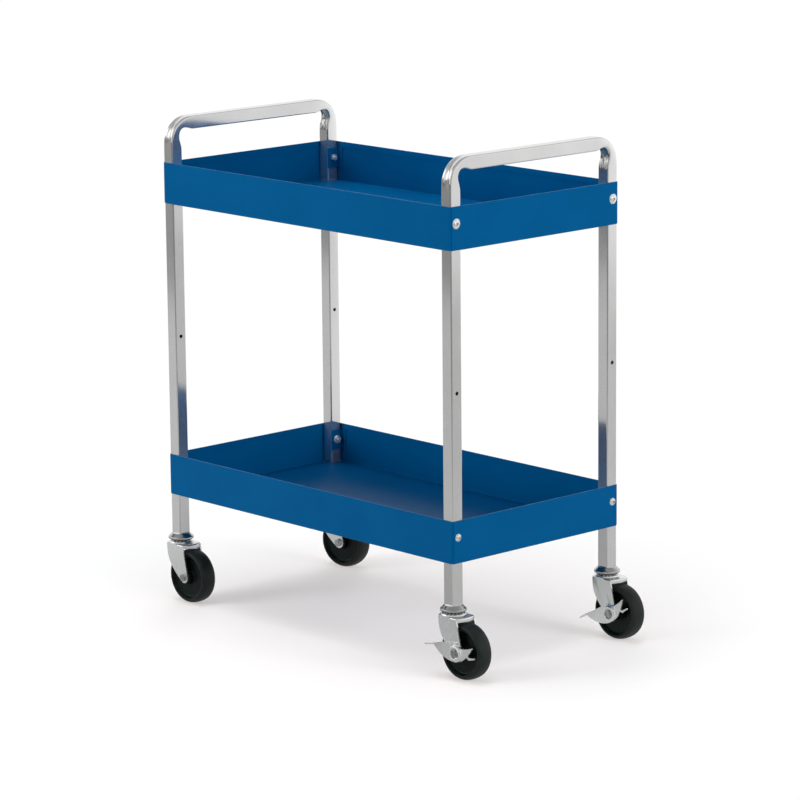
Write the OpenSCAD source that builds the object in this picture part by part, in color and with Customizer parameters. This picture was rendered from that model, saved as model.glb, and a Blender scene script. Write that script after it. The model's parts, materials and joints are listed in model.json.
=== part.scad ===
// Two-tray utility cart: two bent square-tube end frames, two deep sheet trays, four swivel casters.
// Millimetres. Z is up and the floor is z = 0. X runs along the cart and Y across it.
// The two casters at the +X end have a foot brake. Rear means +X, left means -Y.

/* [Trays] */
// Outside length of a tray
tray_length = 762; // [600:1:1000]
// Outside width of a tray
tray_width = 406; // [330:1:560]
// Outside height of a tray wall
tray_height = 76; // [68:1:110]
// Sheet thickness of a tray
tray_sheet = 1.2; // [1:0.1:2]
// Outside radius of the folds along the tray floor
fold_radius = 3.2; // [2.6:0.1:5]
// Outside radius of the upright tray corners
corner_radius = 4; // [2.6:0.1:8]
// Height of the hem folded over at the top of a wall
hem_height = 9.5; // [6:0.5:10]
// Height of the lower tray's underside above the floor
lower_tray_z = 201; // [180:1:260]
// Height of the upper tray's rim above the floor
upper_rim_z = 822; // [700:1:900]
// Gap round a leg in the floor cut-out
leg_cut_gap = 0.4; // [0.2:0.1:1.5]
// Gap between a leg and the long wall beside it
leg_side_gap = 0.3; // [0.2:0.1:2]
// Distance of the corner seam from the long wall's outside
seam_inset = 2.6; // [2:0.1:10]
// Width of the corner seam
seam_width = 0.5; // [0.3:0.1:1]

/* [End frames] */
// Outside width of the square tube
tube = 24; // [22:0.1:32]
// Wall of the square tube
tube_wall = 1.2; // [1:0.1:2]
// Outside corner radius of the square tube
tube_corner = 2.4; // [2.2:0.1:4]
// Height of the handle's top face above the floor
handle_top = 904.5; // [870:0.5:1000]
// Centre-line radius of the two handle bends
bend_radius = 38; // [34:1:60]
// How far the bend presses in the tube's inner face
crush_push = 13; // [6:0.1:13.5]
// Extra depth of the groove along the middle of the pressed inner face
crush_groove = 2; // [0:0.1:3]
// How far the bend flattens the tube's outer face
crush_flat = 0.7; // [0:0.1:1.5]
// Extra dish along the middle of the flattened outer face
crush_dish = 1.3; // [0:0.1:1.6]
// Growth of the outer corners' radius in a bend
crush_round = 4.5; // [3:0.1:5]
// Length of the leg below a bend that is drawn in by the pressing
crush_leg = 12; // [6:1:22]
// Length of the bar beyond a bend that is drawn in by the pressing
crush_bar = 6; // [4:1:22]
// Height of a leg's lower end above the floor
foot_z = 127.5; // [122:0.5:150]
// Height of the spare holes for a middle shelf
shelf_hole_z = 500; // [380:1:640]
// Diameter of the spare holes
shelf_hole_d = 7; // [5:0.1:9]

/* [Corner brackets and screws] */
// Drop of a bracket's top edge below the tray's rim
bracket_drop = 11; // [10.5:0.5:14]
// Height of a bracket
bracket_height = 38; // [32:1:46]
// Sheet thickness of a bracket
bracket_sheet = 1.6; // [1.2:0.1:2.5]
// Length of the bracket's welded flange along the long wall
bracket_flange = 15; // [10:1:25]
// Drop of the tray screws below the rim
screw_drop = 29.5; // [26:0.5:34]
// Shank diameter of the tray screws
screw_d = 6.3; // [5:0.1:7]
// Clearance of the screw holes, on the diameter
screw_hole_gap = 0.4; // [0.2:0.1:1]
// Head diameter of the upper tray screws
upper_head_d = 17.8; // [14:0.1:20]
// Head height of the upper tray screws
upper_head_h = 3.7; // [3:0.1:5]
// Head diameter of the lower tray screws
lower_head_d = 13.8; // [12:0.1:16]
// Head height of the lower tray screws
lower_head_h = 4.1; // [3:0.1:5]
// Width across the flats of the upper nuts
upper_nut_af = 11.1; // [10:0.1:13]
// Width across the flats of the lower flanged nuts
lower_nut_af = 12.4; // [10:0.1:13]
// Flange diameter of the lower nuts
lower_flange_d = 16.6; // [15:0.1:18]
// Height of the tray nuts
nut_h = 5.6; // [4:0.1:7]
// Length of screw that stands out beyond a nut
screw_beyond = 2; // [0.5:0.1:5]

/* [Casters] */
// Wheel diameter
wheel_d = 100; // [88:1:104]
// Width of the wheel at its rim
tread_w = 32; // [28:1:34]
// Width of the flatter middle of the crowned tread
tread_flat = 17.6; // [10:0.2:20]
// Height of the crowned tread from the rim's edge to the ground line
rim_depth = 6.5; // [5:0.5:9]
// Half thickness of the wheel's dished web
web_half = 9; // [6:0.5:11]
// Diameter of the wheel hub
hub_d = 26; // [22:0.5:34]
// Trail of the axle behind the swivel axis
caster_trail = 32; // [28:1:38]
// Outside width of the yoke
yoke_width = 44; // [41:0.5:48]
// Sheet thickness of the yoke
yoke_sheet = 2.2; // [1.6:0.1:3]
// Distance of the middle of the yoke's rear edge from the swivel axis
yoke_back = 36; // [33:0.5:38]
// Bow of the yoke's rear edge, seen from above
yoke_bow = 6.5; // [5:0.5:8]
// Distance of the side plates' leading edge from the swivel axis
yoke_front = 14.5; // [10:0.5:16]
// Depth of the yoke's skirt below its top
yoke_skirt = 7; // [6:0.5:9]
// Radius of the side plates' lower end round the axle
yoke_end_r = 10.5; // [9:0.5:13]
// Outside radius of the yoke's top folds
yoke_fold = 3.2; // [2.6:0.1:5]
// Drop of the yoke's top below the leg's lower end
yoke_drop = 17; // [16:0.5:18.5]
// Height of the raised race on top of the yoke
race_rise = 2; // [1:0.1:3]
// Radius of the top race cover
cover_r = 23.5; // [22.5:0.1:26]
// Height of the top race cover
cover_h = 12; // [11:0.1:14]
// Ball diameter
ball_d = 5; // [4:0.1:5]
// Number of balls in a race
ball_count = 16; // [10:1:18]
// Kingpin diameter
pin_d = 10; // [8:0.1:12]
// Head diameter of the kingpin under the yoke
pin_head_d = 18; // [15:0.5:22]
// Height of the plug inside a leg
plug_h = 38; // [25:1:60]
// Axle bolt diameter
axle_d = 8; // [6:0.1:9]
// Outside diameter of the wheel's bearing sleeve
sleeve_d = 12; // [11:0.1:14]
// Width across the flats of the axle nuts and heads
axle_nut_af = 13; // [12:0.1:14.2]
// Height of the axle nuts
axle_nut_h = 4.4; // [4:0.1:6]
// Running clearance of the moving fits, on the radius
run_gap = 0.06; // [0.03:0.01:0.09]
// Resting turn of the front left caster, in degrees
yaw_front_left = 0; // [-30:1:30]
// Resting turn of the front right caster, in degrees
yaw_front_right = 8; // [-30:1:30]

/* [Brakes] */
// Sheet thickness of a brake lever
lever_sheet = 2.5; // [1.5:0.1:3]
// Thickness of the washer between the lever and the yoke
brake_washer_h = 1; // [0.8:0.1:3]
// Reach of a brake lever's long wing from the axle
lever_reach = 57.3; // [50:0.1:60]
// Outside radius of the lever's raised ring
dome_r = 15.5; // [14.5:0.5:18]
// Height of the raised ring over the lever's face
dome_h = 5; // [3.5:0.5:7]
// Radius of the well inside the ring that the axle nut stands in
well_r = 8.7; // [8.3:0.1:9]
// Reach of the foot tab out from the lever's face
pedal_reach = 14; // [8:1:24]
// Resting angle of the right rear lever above the left rear one, in degrees
brake_turn = 23; // [0:1:30]

/* [Hidden] */
$fn = 64;

steel = [0.80, 0.81, 0.82];
paint = [0.02, 0.30, 0.55];
rubber = [0.06, 0.06, 0.06];

// Places that follow from the sizes above
leg_x = tray_length/2 - tray_sheet - tube/2;
leg_y = tray_width/2 - tray_sheet - leg_side_gap - tube/2;
upper_tray_z = upper_rim_z - tray_height;
lower_rim_z = lower_tray_z + tray_height;
bar_z = handle_top - tube/2;
leg_top_z = bar_z - bend_radius;
axle_z = wheel_d/2;
yoke_top_z = foot_z - yoke_drop;
race_z = yoke_top_z + race_rise;
yoke_half = yoke_width/2;
yoke_nose_r = sqrt(yoke_half*yoke_half + yoke_front*yoke_front);
bow_r = (yoke_half*yoke_half + yoke_bow*yoke_bow)/(2*yoke_bow);
plate_back = yoke_back - yoke_bow;
washer_y = -yoke_half - brake_washer_h;
lever_y = washer_y - 0.15;
nut_face_y = lever_y - lever_sheet - 0.15;
axle_head_h = axle_nut_h - 0.6;
side_gap = 0.5;

// The origin is moved to the middle of the whole cart's box
x_hi = leg_x + caster_trail + wheel_d/2;
x_lo = -max(tray_length/2 + upper_head_h, leg_x + yoke_nose_r);
turned_reach = (caster_trail + axle_nut_af/2)*sin(abs(yaw_front_right))
  + (yoke_half + axle_head_h)*cos(yaw_front_right);
y_hi = leg_y + max(yoke_half + axle_head_h, turned_reach);
y_lo = -leg_y + lever_y - lever_sheet - pedal_reach;
centre = [-(x_hi + x_lo)/2, -(y_hi + y_lo)/2, 0];

// Caster places: swivel axis and resting turn
places = [[leg_x, -leg_y, 0], [leg_x, leg_y, 0],
          [-leg_x, -leg_y, yaw_front_left], [-leg_x, leg_y, yaw_front_right]];

// Points on an arc, first and last included
function arc(cx, cy, r, a0, a1, n) =
  [for (i = [0:n]) [cx + r*cos(a0 + (a1 - a0)*i/n), cy + r*sin(a0 + (a1 - a0)*i/n)]];

// Rectangle centred on the origin with four rounded corners
function round_rect(w, d, r, n) = concat(
  arc(w/2 - r, d/2 - r, r, 0, 90, n), arc(-w/2 + r, d/2 - r, r, 90, 180, n),
  arc(-w/2 + r, -d/2 + r, r, 180, 270, n), arc(w/2 - r, -d/2 + r, r, 270, 360, n));

// Upright profile with its two lower corners rounded
function trough(w, h, r, n) = concat(
  [[w/2, h], [-w/2, h]], arc(-w/2 + r, r, r, 180, 270, n), arc(w/2 - r, r, r, 270, 360, n));

// Cubic curve with two handles
function curve(p0, p1, p2, p3, n) = [for (i = [0:n]) let (t = i/n, u = 1 - t)
  u*u*u*p0 + 3*u*u*t*p1 + 3*u*t*t*p2 + t*t*t*p3];

function ease(t) = t <= 0 ? 0 : t >= 1 ? 1 : t*t*(3 - 2*t);

// Tray body: a box with folded lower edges and upright round corners
module tray_form(inset, h) {
  l = tray_length - 2*inset;
  w = tray_width - 2*inset;
  r = fold_radius - inset;
  intersection() {
    linear_extrude(h) polygon(round_rect(l, w, corner_radius - inset, 6));
    translate([0, w/2 + 1, 0]) rotate([90, 0, 0]) linear_extrude(w + 2) polygon(trough(l, h, r, 6));
    translate([-l/2 - 1, 0, 0]) rotate([90, 0, 90]) linear_extrude(l + 2) polygon(trough(w, h, r, 6));
  }
}

// Hem strip folded down inside a wall, its inner top edge rounded
module hem(length) {
  translate([-length/2, 0, 0]) rotate([90, 0, 90]) linear_extrude(length)
    polygon(concat([[-0.3, 0], [-0.3, -hem_height], [tray_sheet, -hem_height]],
                   arc(tray_sheet - 1, -1, 1, 0, 90, 5)));
}

module tray() {
  long_hem = tray_length - 2*(tray_sheet + tube + 4);
  short_hem = tray_width - 2*(tray_sheet + leg_side_gap + tube + 4);
  cut = tube + 2*leg_cut_gap;
  difference() {
    tray_form(0, tray_height);
    translate([0, 0, tray_sheet]) tray_form(tray_sheet, tray_height);
    for (sx = [-1, 1], sy = [-1, 1]) {
      // cut-out that a leg passes through, open up to the two walls
      translate([sx*(tray_length/2 - tray_sheet - cut/2), sy*(tray_width/2 - tray_sheet - cut/2), 0])
        cube([cut, cut, 3*fold_radius], center = true);
      // seam where the long wall's corner tab ends on the short wall
      translate([sx*tray_length/2, sy*(tray_width/2 - seam_inset), tray_height/2])
        cube([1.4*tray_sheet, seam_width, tray_height + 2], center = true);
      translate([sx*tray_length/2, sy*(tray_width/2 - seam_inset), 0])
        cube([4*tray_sheet, 2.4, 7], center = true);
      translate([sx*(tray_length/2 - tray_sheet), sy*leg_y, tray_height - screw_drop])
        rotate([0, 90, 0]) cylinder(d = screw_d + screw_hole_gap, h = 4*tray_sheet, center = true);
    }
  }
  for (s = [0, 1]) {
    rotate([0, 0, 180*s]) translate([0, -tray_width/2 + tray_sheet, tray_height]) hem(long_hem);
    rotate([0, 0, 180*s + 90]) translate([0, -tray_length/2 + tray_sheet, tray_height]) hem(short_hem);
  }
}

// Section of the square tube, a outward from the bend and b across it.
// press runs from 0, the plain tube, to 1, the tube as it is pressed in a bend. The inner face is
// pushed in with a groove along its middle, and the outer face sinks between two rounded creases.
function outer_corner(press) = tube_corner + crush_round*press;
function inner_corner(press) = tube_corner + crush_round/3*press;
function dent(p, h, e, press) = let (a = p[0], b = p[1],
    groove = max(0, 1 - pow(b/(0.72*h), 2)), dish = max(0, 1 - pow(b/e, 2)))
  [a + press*(ease((h - a)/(2*h))*(crush_push + crush_groove*groove)
              - ease((h + a)/(2*h))*(crush_flat + crush_dish*dish)), b];
function tube_section(h, ro, ri, press) = let (n = 4, eo = h - ro, ei = h - ri)
  [for (p = concat(arc(eo, eo, ro, 0, 90, n), arc(-ei, ei, ri, 90, 180, n),
     [for (k = [1:7]) [-h, ei*(1 - k/4)]],
     arc(-ei, -ei, ri, 180, 270, n), arc(eo, -eo, ro, 270, 360, n),
     [for (k = [1:7]) [h, eo*(k/4 - 1)]])) dent(p, h, eo, press)];
function outer_section(press) = tube_section(tube/2, outer_corner(press), inner_corner(press), press);
function inner_section(press) = tube_section(tube/2 - tube_wall,
  outer_corner(press) - tube_wall, inner_corner(press) - tube_wall, press);

// Share of the pressing at a place s along the centre line, 0 where the bend starts
function press_at(s) = let (mid = bend_radius*PI/4 + 1)
  s < mid ? ease((s + crush_leg)/(mid + crush_leg))
          : 1 - ease((s - mid)/(bend_radius*PI/2 + crush_bar - mid));

// Straight hollow tube along Z, its bend side facing +X
module straight_tube(length) {
  difference() {
    linear_extrude(length) polygon([for (p = outer_section(0)) [-p[0], p[1]]]);
    translate([0, 0, -1]) linear_extrude(length + 2)
      polygon([for (p = inner_section(0)) [-p[0], p[1]]]);
  }
}

// Quarter bend in the XZ plane with the pressed ends of its leg and its bar.
// It starts upward at the origin and turns to +X.
module pressed_bend(n = 16) {
  stations = concat([for (i = [0:3]) [0, -crush_leg*(1 - i/4)]],
                    [for (i = [0:n]) [90*i/n, 0]],
                    [for (i = [1:3]) [90, crush_bar*i/3]]);
  count = len(outer_section(0));
  last = len(stations) - 1;
  function at(p, t) = [bend_radius - (bend_radius + p[0])*cos(t[0]) + t[1]*sin(t[0]), p[1],
                       (bend_radius + p[0])*sin(t[0]) + t[1]*cos(t[0])];
  function press(t) = press_at(t[1] + bend_radius*t[0]*PI/180);
  outer = [for (t = stations) for (p = outer_section(press(t))) at(p, t)];
  inner = [for (t = stations) for (p = inner_section(press(t))) at(p, t)];
  all = len(outer);
  skin = [for (j = [0:last - 1]) for (i = [0:count - 1]) let (k = (i + 1)%count)
    each [[j*count + i, j*count + k, (j + 1)*count + k],
          [j*count + i, (j + 1)*count + k, (j + 1)*count + i]]];
  polyhedron(points = concat(outer, inner), faces = concat(
    skin, [for (f = skin) [f[2] + all, f[1] + all, f[0] + all]],
    [for (i = [0:count - 1]) let (k = (i + 1)%count) [i, i + all, k + all, k]],
    [for (i = [0:count - 1]) let (k = (i + 1)%count, e = last*count)
      [e + i, e + k, e + k + all, e + i + all]]), convexity = 6);
}

// End frame in the plane x = 0: one tube bent to an upside-down U
module end_frame() {
  difference() {
    union() {
      for (s = [-1, 1]) rotate([0, 0, 90*s]) translate([-leg_y, 0, 0]) {
        translate([0, 0, foot_z]) straight_tube(leg_top_z - crush_leg - foot_z);
        translate([0, 0, leg_top_z]) pressed_bend();
      }
      translate([0, -leg_y + bend_radius + crush_bar, bar_z]) rotate([-90, 0, 0]) rotate([0, 0, 90])
        straight_tube(2*(leg_y - bend_radius - crush_bar));
    }
    for (s = [-1, 1]) {
      for (z = [upper_rim_z - screw_drop, lower_rim_z - screw_drop])
        translate([0, s*leg_y, z]) rotate([0, 90, 0])
          cylinder(d = screw_d + screw_hole_gap, h = 2*tube, center = true);
      translate([0, s*leg_y, shelf_hole_z]) rotate([0, 90, 0])
        cylinder(d = shelf_hole_d, h = 2*tube, center = true);
    }
  }
}

// Angle bracket in the +X +Y corner, z = 0 at the tray's rim
module bracket() {
  reach = tray_width/2 - tray_sheet - (leg_y - tube/2);
  wall_y = tray_width/2 - tray_sheet;
  face_x = leg_x - tube/2;
  difference() {
    translate([0, 0, -bracket_drop - bracket_height]) linear_extrude(bracket_height)
      polygon(concat([[face_x, wall_y - reach], [face_x, wall_y - 2]],
        arc(face_x - 2, wall_y - 2, 2, 0, 90, 5),
        [[face_x - bracket_flange, wall_y], [face_x - bracket_flange, wall_y - bracket_sheet],
         [face_x - bracket_sheet, wall_y - bracket_sheet], [face_x - bracket_sheet, wall_y - reach]]));
    translate([face_x, leg_y, -screw_drop]) rotate([0, 90, 0])
      cylinder(d = screw_d + screw_hole_gap, h = 6*bracket_sheet, center = true);
  }
}

module in_corners(z) {
  for (a = [0, 180]) rotate([0, 0, a]) {
    translate([0, 0, z]) children();
    translate([0, 0, z]) mirror([0, 1, 0]) children();
  }
}

// Hex prism along +X from the origin, with a round bore
module hex_nut(af, h, bore) {
  rotate([0, 90, 0]) difference() {
    intersection() {
      cylinder(d = af/cos(30), h = h, $fn = 6);
      rotate_extrude() polygon([[0, 0], [af*0.5, 0], [af*0.58, h*0.12], [af*0.58, h*0.88],
                                [af*0.5, h], [0, h]]);
    }
    translate([0, 0, -1]) cylinder(d = bore, h = h + 2);
  }
}

// Round-headed cross-recess screw along -X, its head's underside at the origin
module tray_screw(head_d, head_h) {
  shank = tray_sheet + tube + bracket_sheet + nut_h + screw_beyond;
  dome = (head_d*head_d/4 + head_h*head_h)/(2*head_h);
  low = asin((dome - head_h)/dome);
  rotate([0, 90, 0]) {
    difference() {
      rotate_extrude() polygon(concat([[0, 0], [head_d/2, 0]],
        [for (i = [1:9]) let (a = low + (90 - low)*i/9) [dome*cos(a), head_h - dome + dome*sin(a)]]));
      for (a = [45, 135]) rotate([0, 0, a]) translate([0, 0, head_h])
        cube([screw_d*1.15, screw_d*0.24, head_h], center = true);
    }
    translate([0, 0, -shank]) cylinder(d = screw_d, h = shank + head_h*0.3);
  }
}

module tray_screws(head_d, head_h) {
  in_corners(-screw_drop) translate([tray_length/2, leg_y, 0]) tray_screw(head_d, head_h);
}

module tray_nuts(af, flange) {
  in_corners(-screw_drop) translate([leg_x - tube/2 - bracket_sheet - nut_h, leg_y, 0]) {
    hex_nut(af, nut_h, screw_d);
    if (flange > 0) translate([nut_h - 1.4, 0, 0]) rotate([0, 90, 0]) difference() {
      cylinder(d = flange, h = 1.4);
      translate([0, 0, -1]) cylinder(d = screw_d, h = 4);
    }
  }
}

// Plug of the stem inside a leg, bored for the kingpin
module plug() {
  inside = tube - 2*tube_wall - 0.1;
  translate([0, 0, foot_z]) difference() {
    linear_extrude(plug_h) polygon(round_rect(inside, inside, 2, 4));
    translate([0, 0, -1]) cylinder(d = pin_d, h = plug_h + 2);
  }
}

// Kingpin: a shank through the cover and the yoke, with a riveted head under the yoke
module kingpin() {
  under = race_z - yoke_sheet - 0.2;
  translate([0, 0, under - 2]) cylinder(d = pin_d, h = foot_z + plug_h + 1.5 - under + 2);
  translate([0, 0, under - 3]) cylinder(d1 = pin_head_d - 3, d2 = pin_head_d, h = 1.5);
  translate([0, 0, under - 1.5]) cylinder(d = pin_head_d, h = 1.5);
}

// Stepped cover over the balls, fixed under the leg: a flared upper ring and a straight lower ring
module cover() {
  f = foot_z;
  top_r = tube/2*1.41;
  race_top = race_z + ball_d + 0.35;
  step = f - cover_h*0.47;
  rotate_extrude() polygon(concat([[pin_d/2, f], [top_r, f]],
    curve([top_r + 0.9, f - 0.7], [top_r + 1.6, f - 2.6],
          [cover_r - 3.4, step + 2.4], [cover_r - 2, step], 6),
    arc(cover_r - 1.6, step - 1.6, 1.6, 80, 0, 4),
    [[cover_r, f - cover_h], [cover_r - 1.5, f - cover_h], [cover_r - 2.6, race_top],
     [pin_d/2, race_top]]));
}

module balls() {
  for (i = [0:ball_count - 1]) rotate([0, 0, 360*i/ball_count])
    translate([cover_r - 8, 0, race_z + ball_d/2]) sphere(d = ball_d);
}

// Cap of the yoke seen from above: round nose, flat sides, bowed rear edge with rounded corners
function yoke_plan(inset) = let (r = yoke_nose_r - inset, w = yoke_half - inset, v = yoke_half - 3,
    a = asin(w/r), b = asin((v - 0.5)/(bow_r - inset)), x = plate_back - 1.7, f = 3 - inset)
  concat(arc(0, 0, r, 180 - a, 180 + a, 14), arc(x, -v, f, -90, -30, 4),
         arc(yoke_back - bow_r, 0, bow_r - inset, -b, b, 12), arc(x, v, f, 30, 90, 4));

// Half section of a round cap with a folded edge
function cap_section(r, bottom, t, k) =
  concat([[0, bottom], [r, bottom]], arc(r - k, t - k, k, 0, 90, 5), [[0, t]]);

module yoke_cap(inset, bottom) {
  t = yoke_top_z - inset;
  k = yoke_fold - inset;
  w = yoke_half - inset;
  intersection() {
    translate([0, 0, bottom]) linear_extrude(t - bottom) polygon(yoke_plan(inset));
    union() {
      rotate_extrude() polygon(cap_section(yoke_nose_r - inset, bottom, t, k));
      intersection() {
        translate([-yoke_front, 0, 0]) rotate([90, 0, 90]) linear_extrude(yoke_front + yoke_back)
          polygon(concat([[-w, bottom], [w, bottom]], arc(w - k, t - k, k, 0, 90, 5),
                         arc(-w + k, t - k, k, 90, 180, 5)));
        translate([yoke_back - bow_r, 0, 0]) rotate_extrude()
          polygon(cap_section(bow_r - inset, bottom, t, k));
      }
    }
  }
}

// Side plate of the yoke in the XZ plane, its round lower end about the axle
function side_outline() = let (e = yoke_end_r, x = caster_trail, top = yoke_top_z - yoke_fold)
  concat([[plate_back, top], [-yoke_front, top]],
    curve([-yoke_front, top - 7], [-yoke_front - 0.5, axle_z + 32], [x - 34, axle_z + 12],
          [x + e*cos(222), axle_z + e*sin(222)], 12),
    arc(x, axle_z, e, 230, 368, 14));

module yoke() {
  low = yoke_top_z - yoke_skirt;
  difference() {
    union() {
      difference() {
        yoke_cap(0, low);
        yoke_cap(yoke_sheet, low - 1);
      }
      for (s = [0, 1]) mirror([0, s, 0]) translate([0, -yoke_half + yoke_sheet, 0]) rotate([90, 0, 0])
        linear_extrude(yoke_sheet) polygon(side_outline());
      // raised race that carries the balls
      translate([0, 0, yoke_top_z - yoke_sheet]) cylinder(r = cover_r - 2.6, h = yoke_sheet + 0.4);
      translate([0, 0, yoke_top_z]) cylinder(r1 = cover_r - 1.4, r2 = cover_r - 2.6, h = race_rise);
    }
    translate([0, 0, yoke_top_z - yoke_sheet - 1])
      cylinder(r = cover_r - 2.6 - yoke_sheet, h = race_rise + 1);
    cylinder(d = pin_d + 2*run_gap, h = foot_z);
    translate([caster_trail, 0, axle_z]) rotate([90, 0, 0])
      cylinder(d = axle_d + 0.1, h = 2*yoke_width, center = true);
  }
}

// Axle bolt along Y, its head on the +Y side
module axle_bolt(out) {
  end = out - axle_nut_h - 0.8;
  translate([caster_trail, yoke_half, axle_z]) {
    translate([0, axle_head_h - 0.2, 0]) rotate([90, 0, 0])
      cylinder(d = axle_d, h = yoke_half + axle_head_h - 0.2 - end);
    rotate([0, 0, 90]) hex_nut(axle_nut_af, axle_head_h, axle_d - 2);
  }
}

module axle_nut(out) {
  translate([caster_trail, out - axle_nut_h, axle_z]) rotate([0, 0, 90])
    hex_nut(axle_nut_af, axle_nut_h, axle_d);
}

module sleeve() {
  inner = yoke_half - yoke_sheet - 0.02;
  translate([caster_trail, inner, axle_z]) rotate([90, 0, 0]) difference() {
    cylinder(d = sleeve_d, h = 2*inner);
    translate([0, 0, -1]) cylinder(d = axle_d + 0.1, h = 2*inner + 2);
  }
}

// Half section of the wheel, radius and width: hub, dished web, rim and crowned tread
function wheel_half(bore) = let (r = wheel_d/2, w = tread_w/2, h = hub_d/2, web = web_half,
    hub = yoke_half - yoke_sheet - side_gap, rim = r - rim_depth)
  concat([[bore, 0], [bore, hub - 0.8], [bore + 0.8, hub], [h - 1, hub], [h, hub - 1],
    [h + 1.2, web + 1.5], [h + 2.8, web]],
    curve([rim - 8, web], [rim - 4.5, web], [rim - 3, w - 0.6], [rim - 1, w - 0.2], 4),
    curve([rim, w], [rim + 0.7*rim_depth, w], [r, tread_flat/2], [r, 0], 8));

module wheel() {
  half = wheel_half(sleeve_d/2 + run_gap);
  n = len(half);
  translate([caster_trail, 0, axle_z]) rotate([90, 0, 0]) rotate_extrude($fn = 128)
    polygon(concat([for (p = half) [p[0], p[1]]], [for (i = [n - 2:-1:1]) [half[i][0], -half[i][1]]]));
}

// Brake lever about the origin, in the XZ plane: a pressed plate with two wings
lever_k = lever_reach/57.3;
function lever_outline() = lever_k*concat(
  curve([-56.5, 9.9], [-44, 13.2], [-31, 15.4], [-16, 16.6], 6),
  curve([-5, 18.5], [3, 18], [8, 9.4], [15, 10.4], 6),
  curve([17, 10.8], [25, 12], [32, 13.8], [38.8, 16.4], 4),
  curve([39.6, 15.4], [37, 11.4], [34, 5], [27.1, 0.4], 5),
  curve([24, -3.4], [15, -12.5], [5, -15.2], [-6, -15.4], 7),
  curve([-8, -15.4], [-26, -15.2], [-42, -7.5], [-57.3, 8.6], 8));

// Small hooked prong below the short wing
function prong_outline() = lever_k*concat([[24, 1.5], [26, -2.5]], arc(32, -3.2, 2.6, 200, 285, 4),
  [[44.5, -2.6], [44.9, -0.4]], arc(32.6, -2.4, 0.9, 100, 180, 3), [[28, 3]]);

// Raised ring about the axle, radius and height above the lever's back, open at the back
function ring_skin() = let (s = lever_sheet, r = dome_r, t = lever_sheet + dome_h)
  concat([[well_r, 0], [r, 0]], curve([r, s], [r - 0.6, s + dome_h*0.7], [r - 1.8, t], [r - 3.6, t], 7),
         curve([well_r + 2.2, t], [well_r + 0.9, t], [well_r, t - 0.8], [well_r, t - 2], 4));
function ring_hollow() = let (r = dome_r - lever_sheet*0.8, t = lever_sheet + dome_h - lever_sheet*0.7)
  concat([[well_r + 1.7, -1], [r, -1]], curve([r, 0.4], [r - 0.4, t*0.7], [r - 1, t], [r - 1.7, t], 5),
         [[well_r + 2.3, t], [well_r + 1.7, t - 1]]);

module lever() {
  k = lever_k;
  slope = atan2(16.6 - 9.9, 40.5);
  out = lever_sheet + pedal_reach;
  difference() {
    union() {
      rotate([90, 0, 0]) linear_extrude(lever_sheet) polygon(lever_outline());
      rotate([90, 0, 0]) linear_extrude(lever_sheet) polygon(prong_outline());
      rotate([90, 0, 0]) rotate_extrude() polygon(ring_skin());
      // foot tab turned out from the long wing's top edge
      translate([-56.5*k, 0, 9.9*k]) rotate([0, -slope, 0]) translate([0, 0, -0.8]) linear_extrude(2)
        polygon(concat([[22*k, 0], [k, 0], [-0.5*k, -lever_sheet]], arc(-6*k, -out + 3, 3, 190, 270, 4),
                       arc(7*k, -out + 3, 3, 270, 330, 3)));
    }
    rotate([90, 0, 0]) rotate_extrude() polygon(ring_hollow());
    rotate([90, 0, 0]) translate([0, 0, -1]) cylinder(d = axle_d + 2*run_gap, h = lever_sheet + dome_h + 2);
  }
}

module lever_washer() {
  translate([caster_trail, -yoke_half, axle_z]) rotate([90, 0, 0]) difference() {
    cylinder(d = 2*(dome_r - 1), h = brake_washer_h);
    translate([0, 0, -1]) cylinder(d = axle_d + 0.1, h = brake_washer_h + 2);
  }
}

module at_leg(i) { translate(centre) translate([places[i][0], places[i][1], 0]) children(); }
module at_caster(i) { at_leg(i) rotate([0, 0, places[i][2]]) children(); }
module at_brake(i, turn) {
  at_caster(i) translate([caster_trail, lever_y, axle_z]) rotate([0, -turn, 0]) children();
}

brake_out = nut_face_y;
plain_out = -yoke_half;

module frame_rear() { color(steel) translate(centre) translate([leg_x, 0, 0]) end_frame(); }
module frame_front() { color(steel) translate(centre) translate([-leg_x, 0, 0]) end_frame(); }
module tray_upper() { color(paint) translate(centre) translate([0, 0, upper_tray_z]) tray(); }
module tray_lower() { color(paint) translate(centre) translate([0, 0, lower_tray_z]) tray(); }
module brackets_upper() { color(paint) translate(centre) in_corners(upper_rim_z) bracket(); }
module brackets_lower() { color(paint) translate(centre) in_corners(lower_rim_z) bracket(); }
module screws_upper() {
  color(steel) translate(centre) translate([0, 0, upper_rim_z]) tray_screws(upper_head_d, upper_head_h);
}
module screws_lower() {
  color(steel) translate(centre) translate([0, 0, lower_rim_z]) tray_screws(lower_head_d, lower_head_h);
}
module nuts_upper() { color(steel) translate(centre) translate([0, 0, upper_rim_z]) tray_nuts(upper_nut_af, 0); }
module nuts_lower() {
  color(steel) translate(centre) translate([0, 0, lower_rim_z]) tray_nuts(lower_nut_af, lower_flange_d);
}

module plug_rl() { color(rubber) at_leg(0) plug(); }
module pin_rl() { color(steel) at_leg(0) kingpin(); }
module cover_rl() { color(steel) at_leg(0) cover(); }
module balls_rl() { color(steel) at_caster(0) balls(); }
module yoke_rl() { color(steel) at_caster(0) yoke(); }
module bolt_rl() { color(steel) at_caster(0) axle_bolt(brake_out); }
module nut_rl() { color(steel) at_caster(0) axle_nut(brake_out); }
module sleeve_rl() { color(steel) at_caster(0) sleeve(); }
module wheel_rl() { color(rubber) at_caster(0) wheel(); }
module plug_rr() { color(rubber) at_leg(1) plug(); }
module pin_rr() { color(steel) at_leg(1) kingpin(); }
module cover_rr() { color(steel) at_leg(1) cover(); }
module balls_rr() { color(steel) at_caster(1) balls(); }
module yoke_rr() { color(steel) at_caster(1) yoke(); }
module bolt_rr() { color(steel) at_caster(1) axle_bolt(brake_out); }
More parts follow.
